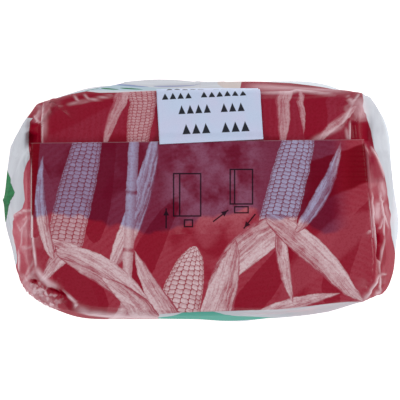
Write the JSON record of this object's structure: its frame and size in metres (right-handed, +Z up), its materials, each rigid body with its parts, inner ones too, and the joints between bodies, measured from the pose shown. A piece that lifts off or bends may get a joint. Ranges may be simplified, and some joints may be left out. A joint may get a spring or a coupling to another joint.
{
  "type": "bag of cornmeal",
  "caption": "Filled film bag of cornmeal standing upright as a soft block, its sealed top fin folded flat over the top and held by a paper label.",
  "frame": {"origin": "on the floor, under the middle of the bag's box", "axes": "+Z up, X along the folded fin, -Y towards the front that the fin folds away from"},
  "size_m": [0.1226, 0.0738, 0.1787],
  "materials": {
    "film": "printed plastic film, soft gloss, red with cream print over white",
    "label_paper": "white paper label with a satin face"
  },
  "bodies": {
    "root": {"bag": "film", "label": "label_paper"}
  },
  "joints": []
}
